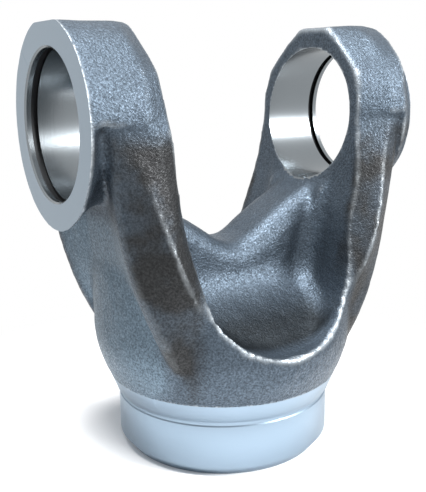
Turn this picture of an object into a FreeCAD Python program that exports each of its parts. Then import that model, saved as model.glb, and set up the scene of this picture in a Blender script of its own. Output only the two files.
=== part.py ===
"""Forged weld yoke for a drive shaft: one steel forging, machined at its two ears and at its tube end.

The yoke stands on the end of its round pilot. The origin is the centre of that end, +Z runs up the
axis of the shaft and +X runs along the common axis of the two cross bores. Sizes are in millimetres.
"""

import math
import os

import FreeCAD, Part
from FreeCAD import Vector

# Cross bores: a 48 mm bearing cap in each ear, held by a snap ring inside the ear's outer face.
CAP_DIAMETER = 48.0
CAP_PRESS_CLEARANCE = 0.0
RING_SPACING = 116.6
RING_GROOVE_WIDTH = 2.3
RING_GROOVE_DEPTH = 1.3
ACROSS_EARS = 125.6
BORE_HEIGHT = 118.7
BORE_CHAMFER = 0.6

# Ear boss: the milled disc round the bore, with a flat top.
BOSS_RADIUS = 33.2
TOP_ABOVE_BORE = 31.7
BOSS_LAND = 3.2
NECK_RADIUS = 25.4
NECK_DEPTH = 13.5
NECK_HOLLOW = 1.6
LIP_ABOVE_BORE = 1.2
# Radius of the milled face of the +X ear and of the -X ear, and how far back the boss is full.
BOSS_FACES = {1: (29.0, 5.4), -1: (33.1, 0.8)}

# Tube end: the pilot fits a 90 x 6 tube, which butts on the shoulder at the weld bevel.
TUBE_BORE = 78.0
TUBE_CLEARANCE = 0.0
PILOT_TOP = 19.2
SHOULDER_HEIGHT = 21.5
SHOULDER_RADIUS = 39.9
LEAD_IN_RADIUS = 35.6
LEAD_IN_HEIGHT = 4.3
BEVEL_RADIUS = 42.3
BEVEL_HEIGHT = 27.6
ROOT_GROOVE = 0.35
ROOT_GROOVE_RISE = 1.0

# Barrel: the forged round body above the bevel, with its waist, its full part and its tapered top.
BARREL_WAIST = (45.2, 34.5)
BARREL_RADIUS = 47.2
BARREL_FULL_HEIGHT = 47.0
BARREL_FADE = 68.0
BARREL_TOP = 84.0
BARREL_TOP_RADIUS = 43.0

# Underside recess of the pilot.
RECESS_RADIUS = 26.0
RECESS_DEPTH = 15.0
RECESS_DRAFT = 7.0
RECESS_CORNER = 5.0

# Web between the ears: half its thickness, its depth and the rounding of its top. Its crest rises
# from the middle to the ears, and the channel above it meets their inner faces.
WEB_HALF = 13.2
WEB_DEPTH = 18.0
WEB_ROUND = 7.5
CREST_HEIGHT = 75.4
CREST_FOOT = (10.0, 79.6)
CREST_SIDE = (22.0, 87.2)
CREST_END = (38.0, 95.6)
CHANNEL_SIDE = (29.5, 84.5)
CHANNEL_HIGH = (33.2, 92.0)

# Inner faces of the +X and -X ears: distance from the shaft axis at the bore, how they lean, and
# how far below the bore's axis they curve away.
INNER_AT_BORE = {1: 38.6, -1: 36.2}
INNER_LEAN = {1: 0.066, -1: 0.085}
FACE_BELOW_BORE = 10.0

# Mouth of the pockets before and behind the web, as half width and height, from rim to ear.
RIM_HEIGHT = 43.6
MOUTH_LOW = (16.0, 47.6)
MOUTH_CORNER = (25.2, 57.0)
MOUTH_MIDDLE = (29.8, 70.0)
MOUTH_HIGH = (33.4, 86.0)

# Floor of a pocket, as distance from the web's middle and height, from the foot of the upright
# wall under the web, and how far the web stands out of that wall.
WALL_FOOT = 71.5
WEB_STEP = 0.3
FLOOR_TOP = (15.0, 61.5)
FLOOR_MIDDLE = (28.0, 52.3)
FLOOR_LOW = (37.5, 43.0)
FLOOR_END = 60.0
FLOOR_ROUND = 8.0
# The seams to round lie inside the barrel, and are longer than this in width and in height.
SEAM_INSIDE = 40.0
SEAM_WIDTH = 3.0
SEAM_HEIGHT = 8.0

# Ears in plan at even steps of height: scoop, wing corner and flash edge as (x, y), the same in
# each quarter, then the inner edge of the +X ear and the two inner edges of the -X ear.
PLAN_FOOT = 40.0
PLAN_STEP = 22.0
WING_PLANS = (
    ((38.0, 21.0), (36.5, 30.3), (15.0, 42.0)),
    ((42.9, 19.0), (47.6, 31.4), (31.4, 38.6)),
    ((47.6, 10.0), (53.2, 29.8), (40.8, 39.2)),
    ((50.2, 14.0), (57.4, 30.2), (47.2, 34.2)),
    ((56.0, 20.0), (60.2, 31.6), (53.6, 32.6)),
    ((60.5, 21.0), (62.8, 31.8), (55.0, 32.6)),
)
EDGES_PLUS = ((8.0, 44.0), (25.0, 38.0), (32.0, 32.0), (34.6, 28.6), (37.8, 26.6), (40.4, 22.0))
EDGES_MINUS = (
    ((12.0, 43.2), (8.0, 44.0)),
    ((28.6, 38.6), (25.0, 38.0)),
    ((37.0, 37.2), (31.0, 33.0)),
    ((40.4, 34.2), (32.4, 30.6)),
    ((44.0, 33.0), (34.0, 30.4)),
    ((46.0, 31.0), (35.0, 27.0)),
)
PLAN_OVERLAP = 3.0
SCOOP_ROUND = 7.0
CORNER_ROUND = 4.0

# Top of an ear seen along the bore: its narrower inner outline, and how deep the slant goes.
TOP_INNER = (7.0, 149.5)
SHOULDER_INNER = (25.0, 133.0)
CORNER_INNER = (26.8, 126.0)
FLANK_INNER = {1: (27.6, 118.7), -1: (30.0, 118.7)}
FOOT_WIDE = (60.0, 60.0)
SLANT_START = 3.0
SLANT_DEPTH = {1: 13.2, -1: 8.0}
# Where those corners meet the boss disc, as angles from the vertical.
CORNER_ANGLES = (58.0, 78.0, 90.0)

# Cutting tools reach this far from the middle, past every side of the yoke.
REACH = 100.0
CEILING = 170.0

MIDDLE = Vector(0, 0, 0)
UP = Vector(0, 0, 1)
ALONG_X = Vector(1, 0, 0)


def inner_face(side, height):
    """Distance of an ear's inner face from the shaft axis at a height."""
    return INNER_AT_BORE[side] + INNER_LEAN[side] * (height - BORE_HEIGHT)


def spline(points, start, end):
    """Smooth edge through the points, leaving in one direction and arriving in the other."""
    curve = Part.BSplineCurve()
    curve.interpolate(Points=points, InitialTangent=start, FinalTangent=end)
    return curve.toShape()


def lines(points):
    """Straight edges from point to point."""
    return [Part.makeLine(a, b) for a, b in zip(points, points[1:])]


def rounded_outline(corners):
    """Closed horizontal outline through (point, radius) corners, rounded unless the radius is 0."""
    turns = []
    count = len(corners)
    for index in range(count):
        point, radius = corners[index]
        before = (corners[index - 1][0] - point).normalize()
        after = (corners[(index + 1) % count][0] - point).normalize()
        half = before.getAngle(after) / 2
        reach = radius / math.tan(half)
        centre = point + (before + after).normalize() * (radius / math.sin(half))
        middle = centre + (point - centre).normalize() * radius if radius else point
        turns.append((point + before * reach, middle, point + after * reach, radius))
    edges = []
    for index in range(count):
        first, middle, last, radius = turns[index]
        if radius:
            edges.append(Part.Arc(first, middle, last).toShape())
        edges.append(Part.makeLine(last, turns[(index + 1) % count][0]))
    return Part.Wire(edges)


def ear_plan(side, height, wing, edges):
    """Plan of one ear's block at one height, reaching a little over the shaft's axis."""
    rounds = (SCOOP_ROUND, CORNER_ROUND) + (0.0,) * (1 + len(edges))
    points = tuple(wing) + tuple(edges)
    front = [(Vector(side * x, -y, height), r) for (x, y), r in zip(points, rounds)]
    core = [(Vector(-side * PLAN_OVERLAP, y, height), 0.0) for y in (-points[-1][1], points[-1][1])]
    back = [(Vector(side * x, y, height), r) for (x, y), r in reversed(list(zip(points, rounds)))]
    return rounded_outline(front + core + back)


def ear_block(side):
    """One ear as a block, lofted through its plans from the barrel to the top."""
    edges = [(e,) for e in EDGES_PLUS] if side > 0 else EDGES_MINUS
    outlines = [
        ear_plan(side, PLAN_FOOT + PLAN_STEP * index, wing, edge)
        for index, (wing, edge) in enumerate(zip(WING_PLANS, edges))
    ]
    return Part.makeLoft(outlines, True, False)


def half_outline(x, points, arcs):
    """Edges of one half of a side outline from the top's middle to the foot, at one x."""
    at = [Vector(x, y, z) for y, z in points]
    edges = []
    for index, (a, b) in enumerate(zip(at, at[1:])):
        if index in arcs:
            centre = Vector(x, 0, BORE_HEIGHT)
            middle = centre + ((a + b) / 2 - centre).normalize() * BOSS_RADIUS
            edges.append(Part.Arc(a, middle, b).toShape())
        else:
            edges.append(Part.makeLine(a, b))
    return edges


def side_outline(x, points, arcs=()):
    """Closed outline of an ear seen along the bore, symmetric about the shaft's axis."""
    right = half_outline(x, points, arcs)
    left = half_outline(x, [(-y, z) for y, z in points], arcs)
    foot = Part.makeLine(Vector(x, points[-1][0], points[-1][1]), Vector(x, -points[-1][0], points[-1][1]))
    return Part.Wire(right + [foot] + list(reversed(left)))


def on_boss(angle):
    """Point (y, height) of the boss disc at an angle from the vertical."""
    turn = math.radians(angle)
    return (BOSS_RADIUS * math.sin(turn), BORE_HEIGHT + BOSS_RADIUS * math.cos(turn))


def ear_envelope(side):
    """Block that trims an ear's top to its side outline and slants it in towards the inner face."""
    flat_angle = math.degrees(math.acos(TOP_ABOVE_BORE / BOSS_RADIUS))
    top = (0.0, BORE_HEIGHT + TOP_ABOVE_BORE)
    foot = (FOOT_WIDE[0], PLAN_FOOT)
    outer = [top, on_boss(flat_angle)] + [on_boss(angle) for angle in CORNER_ANGLES]
    outer += [FOOT_WIDE, foot]
    inner = [(0.0, TOP_INNER[1]), TOP_INNER, SHOULDER_INNER, CORNER_INNER]
    inner += [FLANK_INNER[side], FOOT_WIDE, foot]
    near = side * (INNER_AT_BORE[side] - SLANT_START)
    far = side * (INNER_AT_BORE[side] + SLANT_DEPTH[side])
    slant = Part.makeLoft([side_outline(near, inner), side_outline(far, outer, (1, 2, 3))], True, True)
    plate = Part.Face(side_outline(far, outer, (1, 2, 3))).extrude(Vector(side * REACH, 0, 0))
    core = Part.Face(side_outline(near, inner)).extrude(Vector(-near - side * PLAN_OVERLAP, 0, 0))
    return slant.fuse([plate, core])


def boss(side):
    """Boss round a bore: a milled disc on a necked root, and a plain half round above the bore."""
    face = ACROSS_EARS / 2
    face_radius, land = BOSS_FACES[side]
    rim = Vector(face - land, 0, BOSS_RADIUS)
    root = face - BOSS_LAND - NECK_DEPTH
    foot = Vector(root, 0, NECK_RADIUS)
    hollow = foot + (rim - foot) * 0.5 + Vector(1, 0, -1) * NECK_HOLLOW
    edges = [Part.Arc(foot, hollow, rim).toShape()]
    edges += lines([rim, Vector(face, 0, face_radius), Vector(face, 0, 0), Vector(root, 0, 0), foot])
    disc = Part.Face(Part.Wire(edges)).revolve(MIDDLE, ALONG_X, 360)
    start = INNER_AT_BORE[side] - SLANT_START
    plain = lines([
        Vector(start, 0, 0), Vector(start, 0, BOSS_RADIUS), rim, Vector(face, 0, face_radius),
        Vector(face, 0, 0), Vector(start, 0, 0),
    ])
    round_part = Part.Face(Part.Wire(plain)).revolve(MIDDLE, ALONG_X, 360)
    above = Part.makeBox(REACH, 2 * REACH, REACH, Vector(0, -REACH, LIP_ABOVE_BORE))
    body = disc.fuse(round_part.common(above))
    body.translate(Vector(0, 0, BORE_HEIGHT))
    return body if side > 0 else body.mirror(MIDDLE, ALONG_X)


def barrel():
    """Turned pilot, shoulder and bevel with the forged barrel above them, as one revolve."""
    pilot = (TUBE_BORE - TUBE_CLEARANCE) / 2
    turned = [
        Vector(0, 0, 0), Vector(LEAD_IN_RADIUS, 0, 0), Vector(pilot, 0, LEAD_IN_HEIGHT),
        Vector(pilot, 0, PILOT_TOP - ROOT_GROOVE_RISE), Vector(pilot - ROOT_GROOVE, 0, PILOT_TOP),
        Vector(SHOULDER_RADIUS, 0, SHOULDER_HEIGHT), Vector(BEVEL_RADIUS, 0, BEVEL_HEIGHT),
    ]
    full = Vector(BARREL_RADIUS, 0, BARREL_FULL_HEIGHT)
    shoulder = Vector(BARREL_RADIUS, 0, BARREL_FADE)
    top = Vector(BARREL_TOP_RADIUS, 0, BARREL_TOP)
    waist = Part.Arc(turned[-1], Vector(BARREL_WAIST[0], 0, BARREL_WAIST[1]), full).toShape()
    inside = lines([full, shoulder, top, Vector(0, 0, BARREL_TOP), Vector(0, 0, 0)])
    return Part.Face(Part.Wire(lines(turned) + [waist] + inside)).revolve(MIDDLE, UP, 360)


def between_ears(low):
    """Upright face between the ears: a curve through low (x, height) points up to both inner faces."""
    high = BORE_HEIGHT - FACE_BELOW_BORE
    right = [Vector(x, 0, z) for x, z in low[1:]] + [Vector(inner_face(1, high), 0, high)]
    left = [Vector(-x, 0, z) for x, z in low[1:]] + [Vector(-inner_face(-1, high), 0, high)]
    middle = [Vector(low[0][0], 0, low[0][1])]
    start = Vector(INNER_LEAN[-1], 0, -1)
    end = Vector(INNER_LEAN[1], 0, 1)
    curve = spline(list(reversed(left)) + middle + right, start, end)
    top_right = Vector(inner_face(1, CEILING), 0, CEILING)
    top_left = Vector(-inner_face(-1, CEILING), 0, CEILING)
    return Part.Face(Part.Wire([curve] + lines([right[-1], top_right, top_left, left[-1]])))


def through_channel():
    """Room between the ears above the web, cut through from front to back."""
    low = [(x, z - WEB_ROUND) for x, z in ((0.0, CREST_HEIGHT), CREST_FOOT, CREST_SIDE)]
    low += [CHANNEL_SIDE, CHANNEL_HIGH]
    return between_ears(low).extrude(Vector(0, 2 * REACH, 0)).translated(Vector(0, -REACH, 0))


def pocket(side):
    """Pocket before or behind the web: the mouth's outline above the sloping floor."""
    low = [(0.0, RIM_HEIGHT), MOUTH_LOW, MOUTH_CORNER, MOUTH_MIDDLE, MOUTH_HIGH]
    mouth = between_ears(low).extrude(Vector(0, side * REACH, 0))
    wall = WEB_HALF - WEB_STEP
    points = [(wall, WALL_FOOT), FLOOR_TOP, FLOOR_MIDDLE, FLOOR_LOW, (FLOOR_END, FLOOR_LOW[1])]
    at = [Vector(-REACH, side * y, z) for y, z in points]
    curve = spline(at, Vector(0, 0, -1), Vector(0, side, 0))
    corners = [at[-1], Vector(-REACH, side * FLOOR_END, CEILING)]
    corners += [Vector(-REACH, side * wall, CEILING), at[0]]
    above = Part.Face(Part.Wire([curve] + lines(corners))).extrude(Vector(2 * REACH, 0, 0))
    tool = mouth.common(above)
    seams = [e for e in tool.Edges if is_floor_seam(e)]
    return tool.makeFillet(FLOOR_ROUND, seams)


def is_floor_seam(edge):
    """True for the curved edges where a pocket's floor and the web meet the side of its mouth."""
    box = edge.BoundBox
    inside = abs(box.YMin) < SEAM_INSIDE and abs(box.YMax) < SEAM_INSIDE
    return inside and box.XLength > SEAM_WIDTH and box.ZLength > SEAM_HEIGHT


def web_section():
    """Upright section of the web in the middle of the yoke, its two upper corners rounded."""
    r = WEB_ROUND
    w = WEB_HALF
    turn = r * math.sqrt(0.5)
    high = CREST_HEIGHT
    low = high - WEB_DEPTH
    centre = high - r
    right = Part.Arc(
        Vector(0, w - r, high), Vector(0, w - r + turn, centre + turn), Vector(0, w, centre),
    ).toShape()
    left = Part.Arc(
        Vector(0, -w, centre), Vector(0, -w + r - turn, centre + turn), Vector(0, -w + r, high),
    ).toShape()
    top = Part.makeLine(Vector(0, -w + r, high), Vector(0, w - r, high))
    rest = lines([Vector(0, w, centre), Vector(0, w, low), Vector(0, -w, low), Vector(0, -w, centre)])
    return Part.Wire([top, right] + rest + [left])


def web():
    """Rounded web swept along the crest, from the middle up into each ear."""
    points = [Vector(0, 0, CREST_HEIGHT)]
    points += [Vector(x, 0, z) for x, z in (CREST_FOOT, CREST_SIDE, CREST_END)]
    rise = points[-1] - points[-2]
    path = Part.Wire([spline(points, ALONG_X, rise)])
    half = path.makePipeShell([web_section()], True, False)
    return half.fuse(half.mirror(MIDDLE, ALONG_X))


def bore_tool():
    """Both cross bores in one line, with their snap-ring grooves and edge chamfers."""
    radius = (CAP_DIAMETER - CAP_PRESS_CLEARANCE) / 2
    groove = radius + RING_GROOVE_DEPTH
    half = RING_SPACING / 2
    face = ACROSS_EARS / 2
    profile = [
        Vector(0, 0, 0), Vector(0, 0, radius), Vector(half, 0, radius), Vector(half, 0, groove),
        Vector(half + RING_GROOVE_WIDTH, 0, groove), Vector(half + RING_GROOVE_WIDTH, 0, radius),
        Vector(face - BORE_CHAMFER, 0, radius), Vector(face, 0, radius + BORE_CHAMFER),
        Vector(REACH, 0, radius + BORE_CHAMFER), Vector(REACH, 0, 0), Vector(0, 0, 0),
    ]
    right = Part.Face(Part.Wire(lines(profile))).revolve(MIDDLE, ALONG_X, 360)
    return right.fuse(right.mirror(MIDDLE, ALONG_X)).translated(Vector(0, 0, BORE_HEIGHT))


def recess():
    """Drafted recess in the underside of the pilot, with a bevelled corner at its flat end."""
    bevel_foot = RECESS_DEPTH - RECESS_CORNER
    side = RECESS_RADIUS - bevel_foot * math.tan(math.radians(RECESS_DRAFT))
    profile = lines([
        Vector(0, 0, 0), Vector(RECESS_RADIUS, 0, 0), Vector(side, 0, bevel_foot),
        Vector(side - RECESS_CORNER, 0, RECESS_DEPTH), Vector(0, 0, RECESS_DEPTH), Vector(0, 0, 0),
    ])
    return Part.Face(Part.Wire(profile)).revolve(MIDDLE, UP, 360)


def milled_width():
    """Room between the two milled ear faces, over the whole height."""
    corner = Vector(-ACROSS_EARS / 2, -REACH, -REACH)
    return Part.makeBox(ACROSS_EARS, 2 * REACH, REACH + CEILING, corner)


def make_yoke():
    """The whole forging: barrel, ears, web, pockets, then the machined bores and faces."""
    ears = [ear_block(side).fuse(boss(side)).common(ear_envelope(side)) for side in (1, -1)]
    body = barrel().fuse(ears)
    body = body.cut([through_channel(), pocket(1), pocket(-1)])
    body = body.fuse(web()).common(milled_width())
    body = body.cut([bore_tool(), recess()])
    return body.removeSplitter()


def main():
    os.makedirs("parts", exist_ok=True)
    yoke = make_yoke()
    yoke.exportStep("parts/yoke.step")


main()
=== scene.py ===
import math

import bpy
from mathutils import Matrix, Vector


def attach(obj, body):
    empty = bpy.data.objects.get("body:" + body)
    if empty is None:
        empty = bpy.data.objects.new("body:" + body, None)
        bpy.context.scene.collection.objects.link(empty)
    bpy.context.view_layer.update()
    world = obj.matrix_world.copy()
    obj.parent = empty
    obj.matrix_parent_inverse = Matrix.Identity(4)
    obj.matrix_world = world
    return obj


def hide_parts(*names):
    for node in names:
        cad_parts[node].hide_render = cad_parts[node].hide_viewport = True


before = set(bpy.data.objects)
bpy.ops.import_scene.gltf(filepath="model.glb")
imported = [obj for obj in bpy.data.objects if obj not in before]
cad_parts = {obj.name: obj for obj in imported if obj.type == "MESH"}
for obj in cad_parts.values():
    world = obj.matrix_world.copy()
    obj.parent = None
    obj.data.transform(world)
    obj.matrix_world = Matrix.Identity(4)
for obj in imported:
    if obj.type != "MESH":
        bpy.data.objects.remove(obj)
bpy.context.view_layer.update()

bl_info = {
    "name": "Forged Weld Yoke",
    "version": (1, 0, 0),
    "blender": (4, 5, 0),
    "location": "3D View > Sidebar > Weld Yoke",
    "description": "Dresses the forged weld yoke: shot-blasted skin, milled ears, bored caps and turned pilot",
    "category": "Object",
}

MM = 0.001
YOKE = "yoke"
PIECE = "forged_yoke"
SEGMENTS = 128
ALONG_X = Vector((1, 0, 0))
UP = Vector((0, 0, 1))


def linear(hex_colour):
    """Linear RGBA of an sRGB hex colour such as #4c5660."""
    parts = [int(hex_colour[i:i + 2], 16) / 255 for i in (1, 3, 5)]
    return [p / 12.92 if p <= 0.04045 else ((p + 0.055) / 1.055) ** 2.4 for p in parts] + [1.0]


def length(name, description, millimetres):
    """Property that holds a length, given in millimetres."""
    return bpy.props.FloatProperty(
        name=name, description=description, default=millimetres * MM, unit="LENGTH", precision=5,
    )


def colour(name, description, hex_colour):
    """Property that holds a colour, given as sRGB hex."""
    return bpy.props.FloatVectorProperty(
        name=name, description=description, default=linear(hex_colour)[:3], subtype="COLOR", min=0, max=1,
    )


class YokeShape(bpy.types.PropertyGroup):
    """Sizes of the machined surfaces and of the forged skin's finish."""

    bore_height: length("Bore Height", "Height of the cross bores above the pilot's end", 118.7)
    bore_radius: length("Bore Radius", "Radius of the bearing cap bores", 24.0)
    face: length("Ear Face", "Distance of each milled ear face from the shaft's axis", 62.8)
    groove_start: length("Groove Start", "Distance of the snap-ring groove from the shaft's axis", 58.3)
    groove_width: length("Groove Width", "Width of the snap-ring groove", 2.3)
    groove_depth: length("Groove Depth", "Depth of the snap-ring groove", 1.3)
    bore_chamfer: length("Bore Chamfer", "Edge chamfer of each bore", 0.6)
    pilot_radius: length("Pilot Radius", "Radius of the turned pilot that enters the tube", 39.0)
    pilot_top: length("Pilot Top", "Height of the groove at the pilot's root", 19.2)
    shoulder_radius: length("Shoulder Radius", "Radius where the tube butts on the yoke", 39.9)
    shoulder_height: length("Shoulder Height", "Height of the tube's shoulder", 21.5)
    bevel_radius: length("Bevel Radius", "Radius at the top of the weld bevel", 42.3)
    bevel_height: length("Bevel Height", "Height of the top of the weld bevel", 27.6)
    lead_in_radius: length("Lead-in Radius", "Radius of the pilot's end", 35.6)
    lead_in_height: length("Lead-in Height", "Height of the pilot's lead-in chamfer", 4.3)
    recess_radius: length("Recess Radius", "Radius of the recess under the pilot", 26.0)
    recess_depth: length("Recess Depth", "Depth of the recess under the pilot", 15.0)
    voxel: length("Grain Of The Mesh", "Edge length of the forged skin's mesh", 1.12)
    unevenness: length("Unevenness", "How far the forged skin wanders in and out", 0.5)
    softness: bpy.props.IntProperty(
        name="Edge Softness", description="Smoothing steps that round the forged edges", default=3, min=0,
    )


class YokeColours(bpy.types.PropertyGroup):
    """Colours of the forged and machined steel."""

    skin: colour("Forged Skin", "Shot-blasted forging skin", "#434d57")
    scale: colour("Scale", "Dark scale left along the trimmed flash", "#2b2c2d")
    smooth: colour("Smooth Skin", "Smoother skin of the scoops and the barrel", "#586773")
    milled: colour("Milled", "Milled ear faces", "#8d9aa5")
    bored: colour("Bored", "Bored and honed steel", "#858b8f")
    turned: colour("Turned", "Turned pilot and weld bevel", "#7a8a98")
    groove: colour("Groove", "Snap-ring grooves", "#16181a")


def select_only(piece):
    """Selects one object and makes it active, in object mode."""
    if bpy.context.object and bpy.context.object.mode != "OBJECT":
        bpy.ops.object.mode_set(mode="OBJECT")
    bpy.ops.object.select_all(action="DESELECT")
    piece.hide_set(False)
    piece.select_set(True)
    bpy.context.view_layer.objects.active = piece


def apply_modifier(piece, kind, **settings):
    """Adds a modifier of a kind to a piece and applies it."""
    select_only(piece)
    modifier = piece.modifiers.new(kind.title(), kind)
    for name, value in settings.items():
        setattr(modifier, name, value)
    bpy.ops.object.modifier_apply(modifier=modifier.name)


def copy_of_node(name):
    """A merged copy of a CAD node's mesh as an object of its own."""
    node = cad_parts[name]
    mesh = node.data.copy()
    mesh.materials.clear()
    piece = bpy.data.objects.new(PIECE, mesh)
    bpy.context.scene.collection.objects.link(piece)
    select_only(piece)
    bpy.ops.object.mode_set(mode="EDIT")
    bpy.ops.mesh.select_all(action="SELECT")
    bpy.ops.mesh.remove_doubles(threshold=0.002 * MM)
    bpy.ops.object.mode_set(mode="OBJECT")
    return piece


def turned_solid(name, axis, centre, profile):
    """Closed solid turned about an axis: a disc drawn out ring by ring through (place, radius) points."""
    place, radius = profile[0]
    turn = (0, math.pi / 2, 0) if axis == ALONG_X else (0, 0, 0)
    bpy.ops.object.select_all(action="DESELECT")
    bpy.ops.mesh.primitive_circle_add(
        vertices=SEGMENTS, radius=radius, fill_type="NGON", location=centre + axis * place, rotation=turn,
    )
    piece = bpy.context.object
    piece.name = name
    bpy.ops.object.transform_apply(location=True, rotation=True, scale=True)
    bpy.ops.object.mode_set(mode="EDIT")
    bpy.ops.mesh.select_all(action="SELECT")
    for next_place, next_radius in profile[1:]:
        step = axis * (next_place - place)
        bpy.ops.mesh.extrude_region_move(TRANSFORM_OT_translate={"value": step})
        grow = next_radius / radius
        value = (1, grow, grow) if axis == ALONG_X else (grow, grow, 1)
        bpy.ops.transform.resize(value=value, center_override=centre + axis * next_place)
        place, radius = next_place, next_radius
    bpy.ops.mesh.select_all(action="SELECT")
    bpy.ops.mesh.normals_make_consistent(inside=False)
    bpy.ops.object.mode_set(mode="OBJECT")
    return piece


def join(target, others):
    """Joins other objects into a target object."""
    select_only(target)
    for other in others:
        other.select_set(True)
    bpy.ops.object.join()


def leave_stock(piece, shape):
    """Leaves forging stock where the ears, the bores and the pilot are machined later."""
    mesh = piece.data
    for vertex in mesh.vertices:
        if abs(vertex.co.x) > shape.face - 0.02 * MM:
            vertex.co.x += math.copysign(3 * MM, vertex.co.x)
    plugs = []
    for side, inner in ((1, 38.9), (-1, 36.5)):
        start = Vector((0, 0, shape.bore_height))
        points = [(side * inner * MM, 25 * MM), (side * (shape.face + 2.5 * MM), 25 * MM)]
        plug = turned_solid("bore_plug", ALONG_X, start, points)
        lean_plug(plug, side, inner * MM, shape)
        plugs.append(plug)
    low = Vector((0, 0, 0))
    ring = [(-2 * MM, 40 * MM), (19 * MM, 40 * MM), (26 * MM, 42.7 * MM)]
    plugs.append(turned_solid("pilot_stock", UP, low, ring))
    join(piece, plugs)


def lean_plug(plug, side, inner, shape):
    """Leans a plug's inner end like the ear's inner face."""
    lean = 0.066 if side > 0 else 0.085
    for vertex in plug.data.vertices:
        if abs(abs(vertex.co.x) - inner) < 0.1 * MM:
            vertex.co.x += side * lean * (vertex.co.z - shape.bore_height)


def forge_skin(piece, shape):
    """Turns the sharp solid into a forging: one even mesh with rounded edges and a little waviness."""
    apply_modifier(piece, "REMESH", mode="VOXEL", voxel_size=shape.voxel, use_smooth_shade=True)
    apply_modifier(piece, "SMOOTH", factor=0.5, iterations=shape.softness)
    waves = bpy.data.textures.new("forging_waviness", "CLOUDS")
    waves.noise_scale = 9 * MM
    waves.noise_depth = 2
    apply_modifier(
        piece, "DISPLACE", texture=waves, texture_coords="LOCAL", strength=shape.unevenness, mid_level=0.5,
    )


def ear_cutter(side, shape):
    """Cutter that mills one ear's face and bores it, with the snap-ring groove and edge chamfer."""
    bore, edge = shape.bore_radius, shape.bore_radius + shape.bore_chamfer
    groove = bore + shape.groove_depth
    end = shape.groove_start + shape.groove_width
    profile = [
        (72 * MM, 46 * MM), (shape.face, 46 * MM), (shape.face, edge),
        (shape.face - shape.bore_chamfer, bore), (end, bore), (end, groove),
        (shape.groove_start, groove), (shape.groove_start, bore), (30 * MM, bore),
    ]
    points = [(side * place, radius) for place, radius in profile]
    return turned_solid("ear_cutter", ALONG_X, Vector((0, 0, shape.bore_height)), points)


def pilot_cutter(shape):
    """Cutter that turns the pilot, its root groove, the tube's shoulder and the weld bevel."""
    profile = [
        (-6 * MM, 60 * MM), (shape.bevel_height, 60 * MM),
        (shape.bevel_height, shape.bevel_radius), (shape.shoulder_height, shape.shoulder_radius),
        (shape.shoulder_height - 0.5 * MM, shape.shoulder_radius - 0.5 * MM),
        (shape.pilot_top + 0.4 * MM, shape.pilot_radius - 0.35 * MM),
        (shape.pilot_top, shape.pilot_radius - 0.35 * MM), (shape.pilot_top - 0.4 * MM, shape.pilot_radius),
        (shape.lead_in_height, shape.pilot_radius), (0.0, shape.lead_in_radius),
    ]
    return turned_solid("pilot_cutter", UP, Vector((0, 0, 0)), profile)


def recess_cutter(shape):
    """Cutter that opens the drafted recess under the pilot."""
    rise = shape.recess_depth - 5 * MM
    side = shape.recess_radius - rise * math.tan(math.radians(7))
    profile = [
        (-6 * MM, shape.recess_radius), (0.0, shape.recess_radius), (rise, side),
        (shape.recess_depth, side - 5 * MM),
    ]
    return turned_solid("recess_cutter", UP, Vector((0, 0, 0)), profile)


def machine(piece, shape):
    """Mills, bores and turns the forging with crisp cutters."""
    for cutter in (ear_cutter(1, shape), ear_cutter(-1, shape), pilot_cutter(shape), recess_cutter(shape)):
        apply_modifier(piece, "BOOLEAN", operation="DIFFERENCE", object=cutter, solver="EXACT")
        bpy.data.objects.remove(cutter)


def assign(piece, material, chosen):
    """Gives a material to the faces of a piece that a test chooses by their middle and normal."""
    select_only(piece)
    if material.name not in piece.data.materials:
        piece.data.materials.append(material)
    index = piece.data.materials.find(material.name)
    for face in piece.data.polygons:
        if chosen(face.center, face.normal):
            face.material_index = index


def is_milled(middle, normal, shape):
    """True for a milled ear face."""
    return abs(middle.x) > shape.face - 0.05 * MM and abs(normal.x) > 0.99


def bore_distance(middle, shape):
    """Distance of a point from the cross bores' axis."""
    return math.hypot(middle.y, middle.z - shape.bore_height)


def is_bored(middle, normal, shape):
    """True for a bore's wall and its chamfer."""
    inward = abs(normal.x) < 0.9 and abs(middle.x) > 30 * MM
    return inward and bore_distance(middle, shape) < shape.bore_radius + shape.bore_chamfer


def is_groove(middle, normal, shape):
    """True for the walls and floor of a snap-ring groove."""
    start = shape.groove_start - 0.05 * MM
    along = start < abs(middle.x) < start + shape.groove_width + 0.1 * MM
    near = bore_distance(middle, shape) < shape.bore_radius + shape.groove_depth + 0.05 * MM
    return along and near


def is_turned(middle, normal, shape):
    """True for the turned pilot and weld bevel."""
    radius = math.hypot(middle.x, middle.y)
    slope = (shape.bevel_radius - shape.shoulder_radius) / (shape.bevel_height - shape.shoulder_height)
    cone = shape.shoulder_radius + slope * (middle.z - shape.shoulder_height)
    if middle.z < 0.01 * MM:
        return True
    if middle.z < shape.shoulder_height:
        return radius > shape.lead_in_radius - 1 * MM
    return middle.z < shape.bevel_height and abs(radius - cone) < 0.06 * MM


def add(tree, kind, settings=None, **links):
    """Adds a node to a material with its settings and linked sockets, and returns it."""
    node = tree.nodes.new("ShaderNode" + kind)
    for name, value in (settings or {}).items():
        if name.startswith("in_"):
            key = name[3:]
            node.inputs[int(key) if key.isdigit() else key.replace("_", " ")].default_value = value
        else:
            setattr(node, name, value)
    for name, source in links.items():
        key = name[1:] if name.startswith("_") else name.replace("_", " ")
        socket = node.inputs[int(key)] if key.isdigit() else node.inputs[key]
        tree.links.new(source, socket)
    return node


def new_material(name):
    """Material with a Principled shader, and the place of each point in the yoke's own frame."""
    material = bpy.data.materials.new(name)
    material.use_nodes = True
    tree = material.node_tree
    shader = tree.nodes["Principled BSDF"]
    place = add(tree, "TexCoord").outputs["Object"]
    return material, tree, shader, place


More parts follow.
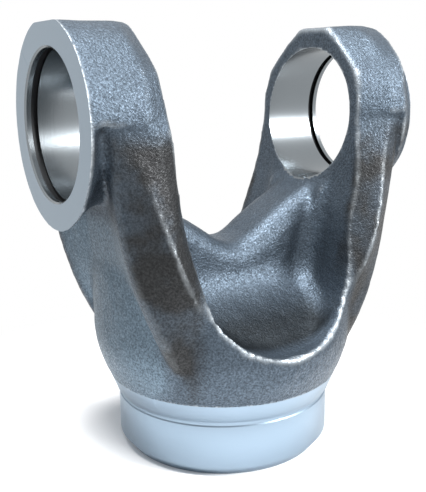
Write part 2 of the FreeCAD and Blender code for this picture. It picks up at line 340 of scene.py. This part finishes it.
def ramp(tree, value, low, high, to_low=0.0, to_high=1.0):
    """Smooth step of a value between two levels."""
    settings = {
        "interpolation_type": "SMOOTHSTEP", "in_1": low, "in_2": high, "in_3": to_low, "in_4": to_high,
    }
    return add(tree, "MapRange", settings, _0=value).outputs[0]


def maths(tree, operation, a, b=None, constant=None):
    """Result of a maths operation on one or two values, or on a value and a constant."""
    settings = {"operation": operation}
    if constant is not None:
        settings["in_1"] = constant
    links = {"_0": a}
    if b is not None:
        links["_1"] = b
    return add(tree, "Math", settings, **links).outputs[0]


def mix_colour(tree, factor, a, b, blend="MIX"):
    """Mix of two colours; each is a socket or a linear colour."""
    node = add(tree, "Mix", {"data_type": "RGBA", "blend_type": blend})
    for socket, value in ((node.inputs[0], factor), (node.inputs[6], a), (node.inputs[7], b)):
        if isinstance(value, bpy.types.NodeSocket):
            tree.links.new(value, socket)
        else:
            socket.default_value = value
    return node.outputs[2]


def forged_skin(colours):
    """Hot-forged carbon steel, shot-blasted: dark blue-grey, pitted grain that glints, edges lighter as wear and
    painted highlight, creases and pocket floors darker as painted shade, and brown scale left along the trimmed
    flash."""
    material, tree, shader, place = new_material("shot-blasted forged steel")
    split = add(tree, "SeparateXYZ", None, Vector=place)
    across = maths(tree, "ABSOLUTE", split.outputs[0])
    ahead = maths(tree, "ABSOLUTE", split.outputs[1])
    height = split.outputs[2]
    # Shot marks are about 0.4 mm in truth and are drawn 0.7 mm across, so that they show.
    grain = add(tree, "TexNoise", {"in_Scale": 1 / (0.7 * MM), "in_Detail": 3.0, "in_Roughness": 0.65}, Vector=place)
    pits = add(tree, "TexNoise", {"in_Scale": 1 / (3.2 * MM), "in_Detail": 2.0}, Vector=place)
    patches = add(tree, "TexNoise", {"in_Scale": 1 / (14 * MM), "in_Detail": 3.0}, Vector=place)
    wander = maths(tree, "MULTIPLY_ADD", patches.outputs[0], constant=8 * MM)
    wander.node.inputs[2].default_value = -4 * MM
    # Trimmed flash: the outer flanks of the wings, and the band under each pocket's rim.
    flank = maths(tree, "MULTIPLY", ramp(tree, maths(tree, "ADD", ahead, wander), 28 * MM, 32 * MM),
                  ramp(tree, across, 27 * MM, 33 * MM))
    flank = maths(tree, "MULTIPLY", flank, ramp(tree, height, 112 * MM, 120 * MM, 1.0, 0.0))
    band = maths(tree, "MULTIPLY", ramp(tree, ahead, 33 * MM, 38 * MM),
                 ramp(tree, height, 47 * MM, 43 * MM))
    band = maths(tree, "MULTIPLY", band, ramp(tree, height, 30 * MM, 34 * MM))
    # Smooth skin: the barrel's sides and the scoops, where the die's face was plain.
    plain = maths(tree, "MULTIPLY", ramp(tree, maths(tree, "ADD", ahead, wander), 30 * MM, 24 * MM),
                  ramp(tree, across, 34 * MM, 40 * MM))
    plain = maths(tree, "MULTIPLY", plain, ramp(tree, height, 92 * MM, 84 * MM))
    # Painted shade: the floor of each pocket beside the web is darkened nearly to black, where the recess lies in
    # shade.
    pocket_painted_shade = maths(tree, "MULTIPLY", ramp(tree, height, 62 * MM, 50 * MM), ramp(tree, across, 27 * MM, 18 * MM))
    pocket_painted_shade = maths(tree, "MULTIPLY", pocket_painted_shade, ramp(tree, ahead, 41 * MM, 36 * MM))
    pocket_painted_shade = maths(tree, "MULTIPLY", pocket_painted_shade, ramp(tree, height, 36 * MM, 42 * MM))
    tone = mix_colour(tree, plain, linear_of(colours.skin), linear_of(colours.smooth))
    scaled = maths(tree, "MULTIPLY", flank, ramp(tree, patches.outputs[0], 0.35, 0.6, 0.55, 1.0))
    tone = mix_colour(tree, scaled, tone, linear_of(colours.scale))
    tone = mix_colour(tree, maths(tree, "MULTIPLY", pocket_painted_shade, constant=0.95), tone, linear("#14181b"))
    speckle = ramp(tree, grain.outputs[0], 0.3, 0.72, 0.6, 1.45)
    tone = mix_colour(tree, 1.0, tone, add(tree, "CombineColor", None, _0=speckle, _1=speckle, _2=speckle).outputs[0], "MULTIPLY")
    edges = add(tree, "NewGeometry").outputs["Pointiness"]
    # Partly wear and partly painted highlight: convex edges and ridges are lightened where rounded edges would catch
    # the light.
    wear_and_painted_highlight = ramp(tree, edges, 0.508, 0.57)
    tone = mix_colour(tree, maths(tree, "MULTIPLY", wear_and_painted_highlight, constant=0.75), tone, linear("#b6bdc2"))
    # Painted shade: creases and hollows are darkened.
    crease_painted_shade = ramp(tree, edges, 0.49, 0.42)
    tone = mix_colour(tree, maths(tree, "MULTIPLY", crease_painted_shade, constant=0.6), tone, linear("#1d2023"))
    tree.links.new(tone, shader.inputs["Base Color"])
    shader.inputs["Metallic"].default_value = 0.85
    rough = ramp(tree, grain.outputs[0], 0.35, 0.75, 0.55, 0.3)
    tree.links.new(rough, shader.inputs["Roughness"])
    # Shear marks stand upright in the trimmed band, about 1 mm apart.
    stretch = add(tree, "Mapping", {"in_Scale": (1.0, 1.0, 0.06)}, Vector=place)
    shear = add(tree, "TexNoise", {"in_Scale": 1 / (0.9 * MM), "in_Detail": 1.0}, Vector=stretch.outputs[0])
    marks = maths(tree, "MULTIPLY", shear.outputs[0], band)
    fine = maths(tree, "MULTIPLY", grain.outputs[0], maths(tree, "SUBTRACT", ramp(tree, plain, 0, 1, 1.0, 0.5), band))
    relief = maths(tree, "ADD", maths(tree, "ADD", fine, marks), pits.outputs[0])
    bump = add(tree, "Bump", {"in_Strength": 0.8, "in_Distance": 0.35 * MM}, Height=relief)
    tree.links.new(bump.outputs[0], shader.inputs["Normal"])
    return material


def linear_of(property_colour):
    """Linear RGBA of a colour property."""
    return list(property_colour) + [1.0]


def milled_steel(colours):
    """Face-milled steel: flat satin grey with faint sweeping tool marks."""
    material, tree, shader, place = new_material("milled steel")
    shader.inputs["Base Color"].default_value = linear_of(colours.milled)
    shader.inputs["Metallic"].default_value = 0.9
    shader.inputs["Roughness"].default_value = 0.42
    marks = add(tree, "TexNoise", {"in_Scale": 1 / (2.5 * MM), "in_Detail": 4.0}, Vector=place)
    bump = add(tree, "Bump", {"in_Strength": 0.25, "in_Distance": 0.05 * MM}, Height=marks.outputs[0])
    tree.links.new(bump.outputs[0], shader.inputs["Normal"])
    return material


def bored_steel(colours):
    """Bored and honed steel: bright, with fine rings round the bore that stretch its reflections."""
    material, tree, shader, place = new_material("bored steel")
    shader.inputs["Base Color"].default_value = linear_of(colours.bored)
    shader.inputs["Metallic"].default_value = 1.0
    shader.inputs["Roughness"].default_value = 0.24
    # Feed marks lie about 0.1 mm apart in truth and are drawn 0.5 mm apart, so that they show.
    squeeze = add(tree, "Mapping", {"in_Scale": (1.0, 0.02, 0.02)}, Vector=place)
    rings = add(tree, "TexNoise", {"in_Scale": 1 / (0.5 * MM), "in_Detail": 2.0}, Vector=squeeze.outputs[0])
    bump = add(tree, "Bump", {"in_Strength": 0.2, "in_Distance": 0.05 * MM}, Height=rings.outputs[0])
    tree.links.new(bump.outputs[0], shader.inputs["Normal"])
    return material


def turned_steel(colours):
    """Turned steel: satin light grey with fine rings round the pilot."""
    material, tree, shader, place = new_material("turned steel")
    shader.inputs["Base Color"].default_value = linear_of(colours.turned)
    shader.inputs["Metallic"].default_value = 0.9
    shader.inputs["Roughness"].default_value = 0.38
    squeeze = add(tree, "Mapping", {"in_Scale": (0.03, 0.03, 1.0)}, Vector=place)
    rings = add(tree, "TexNoise", {"in_Scale": 1 / (0.6 * MM), "in_Detail": 2.0}, Vector=squeeze.outputs[0])
    bump = add(tree, "Bump", {"in_Strength": 0.3, "in_Distance": 0.05 * MM}, Height=rings.outputs[0])
    tree.links.new(bump.outputs[0], shader.inputs["Normal"])
    return material


def groove_steel(colours):
    """Turned groove, coloured dark."""
    material, tree, shader, place = new_material("dark groove steel")
    shader.inputs["Base Color"].default_value = linear_of(colours.groove)
    shader.inputs["Metallic"].default_value = 0.6
    shader.inputs["Roughness"].default_value = 0.5
    return material


class YOKE_OT_forging(bpy.types.Operator):
    """Make the forged yoke with its machined surfaces"""

    bl_idname = "yoke.forging"
    bl_label = "Make Forging"

    def execute(self, context):
        shape = context.scene.yoke_shape
        colours = context.scene.yoke_colours
        piece = copy_of_node(YOKE)
        leave_stock(piece, shape)
        forge_skin(piece, shape)
        machine(piece, shape)
        finish_faces(piece, shape, colours)
        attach(piece, "root")
        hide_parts(YOKE)
        return {"FINISHED"}


def finish_faces(piece, shape, colours):
    """Shades the forging and gives each surface the steel that it is finished as."""
    select_only(piece)
    bpy.ops.object.shade_smooth_by_angle(angle=math.radians(40))
    piece.data.materials.clear()
    piece.data.materials.append(forged_skin(colours))
    assign(piece, milled_steel(colours), lambda c, n: is_milled(c, n, shape))
    assign(piece, turned_steel(colours), lambda c, n: is_turned(c, n, shape))
    assign(piece, bored_steel(colours), lambda c, n: is_bored(c, n, shape))
    assign(piece, groove_steel(colours), lambda c, n: is_groove(c, n, shape))


def add_light(name, place, size, power):
    """Soft square lamp that looks at the yoke's middle."""
    bpy.ops.object.light_add(type="AREA", location=place)
    lamp = bpy.context.object
    lamp.name = name
    lamp.data.size = size
    lamp.data.energy = power
    aim = Vector((0, 0, 0.08)) - Vector(place)
    lamp.rotation_euler = aim.to_track_quat("-Z", "Y").to_euler()
    return lamp


def seen(tree):
    """1 for rays that show the surroundings as such: from the camera, a gloss or through glass."""
    rays = add(tree, "LightPath")
    both = maths(tree, "MAXIMUM", rays.outputs["Is Camera Ray"], rays.outputs["Is Glossy Ray"])
    return maths(tree, "MAXIMUM", both, rays.outputs["Is Transmission Ray"])


def white_surroundings():
    """World that is white to look at and lights the yoke at a plain level."""
    world = bpy.data.worlds.new("white_studio")
    bpy.context.scene.world = world
    world.use_nodes = True
    tree = world.node_tree
    back = tree.nodes["Background"]
    tone = mix_colour(tree, seen(tree), (0.55, 0.57, 0.6, 1), (1, 1, 1, 1))
    tree.links.new(tone, back.inputs["Color"])
    back.inputs["Strength"].default_value = 1.0


def floor_material():
    """Matt white card, which turns plain white away from the yoke."""
    material, tree, shader, place = new_material("white card")
    shader.inputs["Base Color"].default_value = (0.9, 0.9, 0.9, 1)
    shader.inputs["Roughness"].default_value = 0.9
    shader.inputs["Specular IOR Level"].default_value = 0.1
    distance = add(tree, "VectorMath", {"operation": "LENGTH"}, _0=place).outputs["Value"]
    far = maths(tree, "MULTIPLY", ramp(tree, distance, 0.05, 0.16), seen(tree))
    glow = add(tree, "Emission", {"in_Strength": 1.0})
    mixed = add(tree, "MixShader", None, _0=far, _1=shader.outputs[0], _2=glow.outputs[0])
    tree.links.new(mixed.outputs[0], tree.nodes["Material Output"].inputs[0])
    return material


class YOKE_OT_stage(bpy.types.Operator):
    """Make the floor, lamps, surroundings and camera"""

    bl_idname = "yoke.stage"
    bl_label = "Make Stage"

    def execute(self, context):
        bpy.ops.object.select_all(action="DESELECT")
        bpy.ops.mesh.primitive_plane_add(size=12, location=(0, 0, 0))
        floor = context.object
        floor.name = "floor"
        floor.data.materials.append(floor_material())
        lamps = [
            add_light("top_lamp", (-0.15, -0.15, 0.9), 0.35, 20),
            add_light("front_lamp", (0.5, -0.65, 0.48), 0.25, 14),
        ]
        white_surroundings()
        context.scene.view_settings.view_transform = "Standard"
        place_camera()
        return {"FINISHED"}


def place_camera():
    """Camera that looks down a little on the yoke from its front left."""
    turn, rise, roll = -0.546, 0.228, -0.011
    back = Vector((math.sin(turn) * math.cos(rise), -math.cos(turn) * math.cos(rise), math.sin(rise)))
    right = (-back).cross(UP).normalized()
    up = right.cross(-back)
    right, up = math.cos(roll) * right + math.sin(roll) * up, math.cos(roll) * up - math.sin(roll) * right
    bpy.ops.object.camera_add()
    camera = bpy.context.object
    camera.data.lens = 57.14
    camera.data.clip_start = 0.01
    matrix = Matrix((right, up, back)).transposed().to_4x4()
    matrix.translation = Vector((-147.6, -237.2, 136.9)) * MM
    camera.matrix_world = matrix
    bpy.context.scene.camera = camera


class YOKE_PT_sidebar(bpy.types.Panel):
    """Panel with the buttons that make the yoke and its stage, and the yoke's sizes and colours"""

    bl_idname = "YOKE_PT_sidebar"
    bl_label = "Weld Yoke"
    bl_space_type = "VIEW_3D"
    bl_region_type = "UI"
    bl_category = "Weld Yoke"

    def draw(self, context):
        for operator in (YOKE_OT_forging, YOKE_OT_stage):
            self.layout.operator(operator.bl_idname)
        for group in (context.scene.yoke_shape, context.scene.yoke_colours):
            for name in group.__annotations__:
                self.layout.prop(group, name)


CLASSES = (YokeShape, YokeColours, YOKE_OT_forging, YOKE_OT_stage, YOKE_PT_sidebar)


def register():
    for cls in CLASSES:
        bpy.utils.register_class(cls)
    bpy.types.Scene.yoke_shape = bpy.props.PointerProperty(type=YokeShape)
    bpy.types.Scene.yoke_colours = bpy.props.PointerProperty(type=YokeColours)


def unregister():
    del bpy.types.Scene.yoke_colours
    del bpy.types.Scene.yoke_shape
    for cls in reversed(CLASSES):
        bpy.utils.unregister_class(cls)


def main():
    register()
    bpy.ops.yoke.forging()
    bpy.ops.yoke.stage()


if __name__ == "__main__":
    main()
